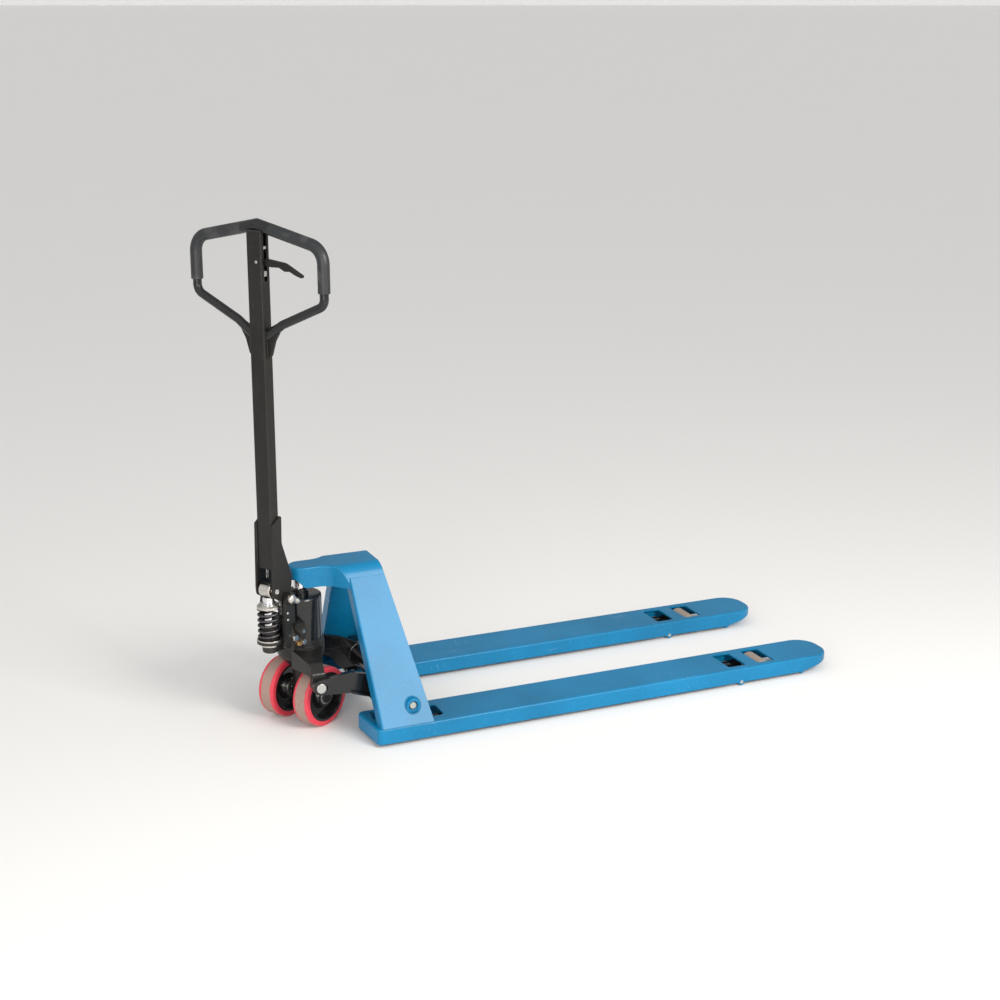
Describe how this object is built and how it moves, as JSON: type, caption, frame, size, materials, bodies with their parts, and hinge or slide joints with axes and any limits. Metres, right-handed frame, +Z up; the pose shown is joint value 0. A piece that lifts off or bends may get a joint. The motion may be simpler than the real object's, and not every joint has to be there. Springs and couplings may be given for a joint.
{
  "type": "pallet jack",
  "caption": "Hand pallet truck with two forks, a hydraulic pump on steering wheels, a tilting loop handle with a finger lever, and a lifting linkage to load rollers.",
  "frame": {"origin": "centre of the footprint at the floor, forks lowered, steering turned to the left", "axes": "+X from the steering wheels to the fork tips, +Y to the left seen from behind the handle, +Z up"},
  "size_m": [1.7019, 0.55, 1.331],
  "materials": {
    "frame_blue": "gloss",
    "linkage_black": "gloss",
    "pump_black": "satin",
    "handle_black": "satin",
    "grip_black": "matte",
    "bright_steel": "zinc plated",
    "bearing_steel": "ground",
    "bush_bronze": "machined",
    "brass": "machined",
    "chrome": "polished",
    "rim_black": "gloss",
    "tyre_red": "polyurethane",
    "roller_tan": "polyurethane"
  },
  "bodies": {
    "chassis": {"head_plate": "frame_blue", "head_stiffener": "frame_blue", "ram_socket": "frame_blue", "leg_left": "frame_blue", "leg_right": "frame_blue", "fork_left": "frame_blue", "fork_right": "frame_blue", "entry_skids": "frame_blue", "shaft_bosses": "frame_blue", "frame_pivot_pins": "bright_steel", "rocker_shaft": "bright_steel"},
    "seat": {"seat_bracket": "linkage_black", "seat_pins": "bright_steel", "thrust_bearing": "bearing_steel"},
    "rocker": {"rocker": "linkage_black", "rocker_bushes": "bush_bronze", "crank_pins": "bright_steel"},
    "pump": {"pump_body": "pump_black", "steel_plugs": "bright_steel", "brass_plug": "brass", "reservoir": "pump_black", "lift_cylinder": "bright_steel", "gland_nut": "pump_black", "pump_spring": "pump_black", "handle_pivot_pin": "bright_steel", "pivot_clips": "bright_steel", "release_pivot": "bright_steel", "wheel_axle": "bright_steel", "axle_spacers": "bright_steel"},
    "ram": {"ram": "chrome"},
    "plunger": {"plunger": "chrome", "spring_cap": "pump_black"},
    "release_lever": {"release_lever": "pump_black"},
    "handle": {"handle_shaft": "linkage_black", "handle_loop": "handle_black", "grip_left": "grip_black", "grip_right": "grip_black", "cheek_left": "linkage_black", "cheek_right": "linkage_black", "pressure_roller_axle": "bright_steel", "lever_pin": "bright_steel"},
    "pressure_roller": {"pressure_roller": "bright_steel"},
    "control_lever": {"control_lever": "pump_black"},
    "pull_rod": {"pull_rod": "bright_steel"},
    "push_rod_left": {"push_rod_left": "linkage_black"},
    "roller_frame_left": {"roller_frame_left": "linkage_black", "load_roller_axle_left": "bright_steel"},
    "load_roller_left": {"load_roller_left": "roller_tan", "roller_bearings_left": "bearing_steel"},
    "wheel_left": {"wheel_rim_left": "rim_black", "tyre_left": "tyre_red", "wheel_bearings_left": "bearing_steel"},
    "push_rod_right": {"push_rod_right": "linkage_black"},
    "roller_frame_right": {"roller_frame_right": "linkage_black", "load_roller_axle_right": "bright_steel"},
    "load_roller_right": {"load_roller_right": "roller_tan", "roller_bearings_right": "bearing_steel"},
    "wheel_right": {"wheel_rim_right": "rim_black", "tyre_right": "tyre_red", "wheel_bearings_right": "bearing_steel"}
  },
  "joints": [
    {"name": "lift", "type": "slide", "parent": "chassis", "child": "seat", "axis": [0, 0, -1], "range_m": [0, 0.09]},
    {"name": "rocker_turn", "type": "hinge", "parent": "chassis", "child": "rocker", "pos_m": [-0.41905, 0, 0.095], "axis": [0, -1, 0], "range_deg": [0, 24]},
    {"name": "push_rod_left_turn", "type": "hinge", "parent": "rocker", "child": "push_rod_left", "pos_m": [-0.43226, 0.204, 0.03136], "axis": [0, -1, 0], "range_deg": [-24, 0]},
    {"name": "roller_frame_left_turn", "type": "hinge", "parent": "chassis", "child": "roller_frame_left", "pos_m": [0.55195, 0.204, 0.0105], "axis": [0, 1, 0], "range_deg": [0, 71]},
    {"name": "load_roller_left_spin", "type": "hinge", "parent": "roller_frame_left", "child": "load_roller_left", "pos_m": [0.63795, 0.204, 0.025], "axis": [0, 1, 0], "continuous": true},
    {"name": "push_rod_right_turn", "type": "hinge", "parent": "rocker", "child": "push_rod_right", "pos_m": [-0.43226, -0.204, 0.03136], "axis": [0, -1, 0], "range_deg": [-24, 0]},
    {"name": "roller_frame_right_turn", "type": "hinge", "parent": "chassis", "child": "roller_frame_right", "pos_m": [0.55195, -0.204, 0.0105], "axis": [0, 1, 0], "range_deg": [0, 71]},
    {"name": "load_roller_right_spin", "type": "hinge", "parent": "roller_frame_right", "child": "load_roller_right", "pos_m": [0.63795, -0.204, 0.025], "axis": [0, 1, 0], "continuous": true},
    {"name": "steer", "type": "hinge", "parent": "seat", "child": "pump", "pos_m": [-0.63505, 0, 0.196], "axis": [0, 0, 1], "range_deg": [-121, 59]},
    {"name": "wheel_left_spin", "type": "hinge", "parent": "pump", "child": "wheel_left", "pos_m": [-0.66569, 0.051, 0.08], "axis": [-0.515, 0.8572, 0], "continuous": true},
    {"name": "wheel_right_spin", "type": "hinge", "parent": "pump", "child": "wheel_right", "pos_m": [-0.6044, -0.051, 0.08], "axis": [-0.515, 0.8572, 0], "continuous": true},
    {"name": "ram_extend", "type": "slide", "parent": "pump", "child": "ram", "axis": [0, 0, 1], "range_m": [0, 0.09]},
    {"name": "handle_tilt", "type": "hinge", "parent": "pump", "child": "handle", "pos_m": [-0.70705, -0.04326, 0.367], "axis": [0.515, -0.8572, 0], "range_deg": [0, 70], "stiffness_Nm_per_rad": 40, "springref_deg": -8.59},
    {"name": "plunger_press", "type": "slide", "parent": "pump", "child": "plunger", "axis": [0, 0, -1], "range_m": [0, 0.0498], "deforming": ["pump_spring"]},
    {"name": "pressure_roller_spin", "type": "hinge", "parent": "handle", "child": "pressure_roller", "pos_m": [-0.7362, -0.06077, 0.392], "axis": [-0.515, 0.8572, 0], "continuous": true},
    {"name": "control_lever_turn", "type": "hinge", "parent": "handle", "child": "control_lever", "pos_m": [-0.72522, -0.06351, 1.228], "axis": [0.8572, 0.515, 0], "range_deg": [-12, 12], "stiffness_Nm_per_rad": 3},
    {"name": "pull_rod_slide", "type": "slide", "parent": "handle", "child": "pull_rod", "axis": [0, 0, 1], "range_m": [-0.0036, 0.0036]},
    {"name": "release_lever_turn", "type": "hinge", "parent": "pump", "child": "release_lever", "pos_m": [-0.65593, -0.06621, 0.272], "axis": [-0.515, 0.8572, 0], "range_deg": [-8, 8]}
  ],
  "couplings": [
    {"joint": "rocker_turn", "follows": "lift", "rad_per_m": 4.5473},
    {"joint": "ram_extend", "follows": "lift", "ratio": 1},
    {"joint": "push_rod_left_turn", "follows": "lift", "rad_per_m": -4.5473},
    {"joint": "roller_frame_left_turn", "follows": "lift", "rad_per_m": 13.484},
    {"joint": "push_rod_right_turn", "follows": "lift", "rad_per_m": -4.5473},
    {"joint": "roller_frame_right_turn", "follows": "lift", "rad_per_m": 13.484},
    {"joint": "plunger_press", "follows": "handle_tilt", "m_per_rad": 0.04036},
    {"joint": "pull_rod_slide", "follows": "control_lever_turn", "m_per_rad": 0.016},
    {"joint": "release_lever_turn", "follows": "control_lever_turn", "ratio": 0.6}
  ]
}
